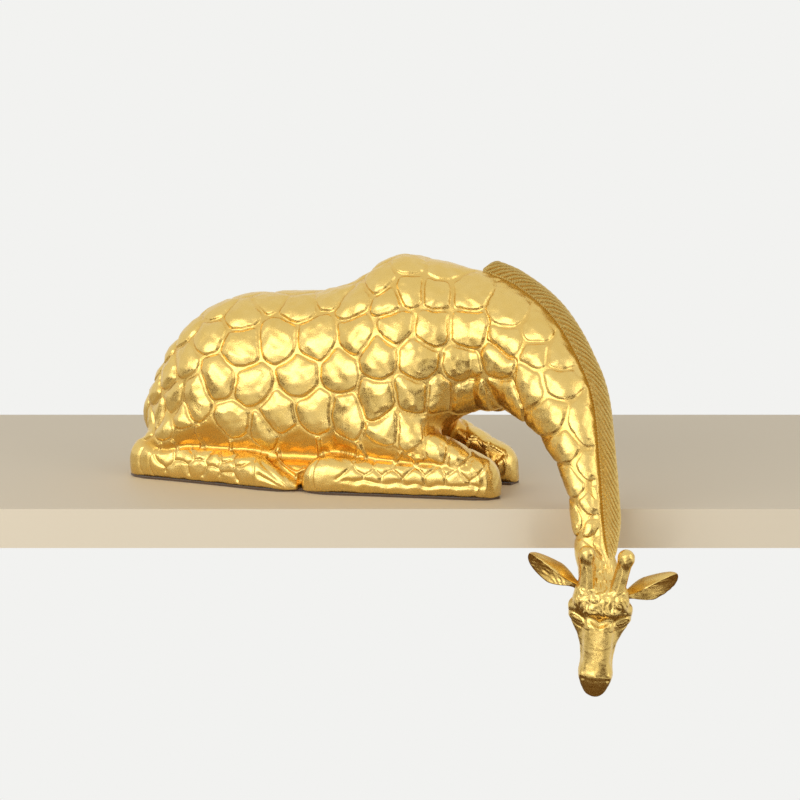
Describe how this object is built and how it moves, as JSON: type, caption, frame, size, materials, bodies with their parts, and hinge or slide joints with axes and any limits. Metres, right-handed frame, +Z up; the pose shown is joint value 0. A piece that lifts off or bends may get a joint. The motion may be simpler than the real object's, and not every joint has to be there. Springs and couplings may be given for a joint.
{
  "type": "carved giraffe statue",
  "caption": "Gilded carved giraffe that lies on a shelf and hangs its arched neck and head over the shelf's front edge.",
  "frame": {"origin": "on the shelf's top, under the middle of the lying body", "axes": "+X from the rump to the chest, +Z up, and the giraffe's right side faces -Y, where the shelf ends and the neck hangs down"},
  "size_m": [0.3896, 0.1497, 0.2626],
  "materials": {
    "gilded_wood": "gold leaf over red-brown bole on carved wood",
    "bare_wood": "bare sanded beech",
    "screw_steel": "zinc-plated steel",
    "felt": "dark wool felt"
  },
  "bodies": {
    "root": {"torso": "gilded_wood", "neck_lower": "gilded_wood", "neck_upper": "gilded_wood", "mane": "gilded_wood", "head": "gilded_wood", "right_ear": "gilded_wood", "left_ear": "gilded_wood", "right_ossicone": "gilded_wood", "left_ossicone": "gilded_wood", "right_foreleg": "gilded_wood", "left_foreleg": "gilded_wood", "right_hindleg": "gilded_wood", "left_hindleg": "gilded_wood", "tail": "gilded_wood", "base_board": "bare_wood", "base_screws": "screw_steel", "neck_root_dowels": "bare_wood", "neck_dowel": "bare_wood", "head_dowel": "bare_wood", "leg_dowels": "bare_wood", "felt_sole": "felt"}
  },
  "joints": []
}
